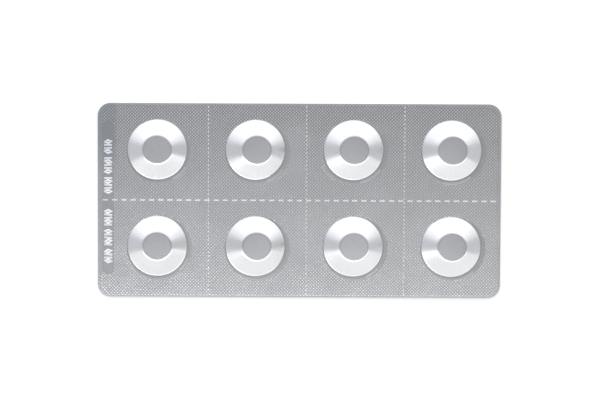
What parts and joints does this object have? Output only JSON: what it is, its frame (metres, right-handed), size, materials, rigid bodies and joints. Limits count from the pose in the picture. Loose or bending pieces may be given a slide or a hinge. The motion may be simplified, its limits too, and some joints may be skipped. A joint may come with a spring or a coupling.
{
  "type": "blister pack of tablets",
  "caption": "Sealed aluminium blister card of tablets: a thin flat card with rows of raised conical pockets, tear-off perforations and a code strip.",
  "frame": {"origin": "centre of the card's flat back, which is its lidding foil", "axes": "+X along the long side of the card, away from the code strip; +Y across the card, up in the picture; +Z out of the pockets"},
  "size_m": [0.097, 0.0466, 0.003],
  "materials": {
    "foil": "formed foil laminate, satin silver, with a fine diamond sealing knurl and smooth bright pockets",
    "lidding": "hard lidding foil, satin silver, with the sealing knurl showing through"
  },
  "bodies": {
    "root": {"blister_pack": "foil"}
  },
  "joints": []
}
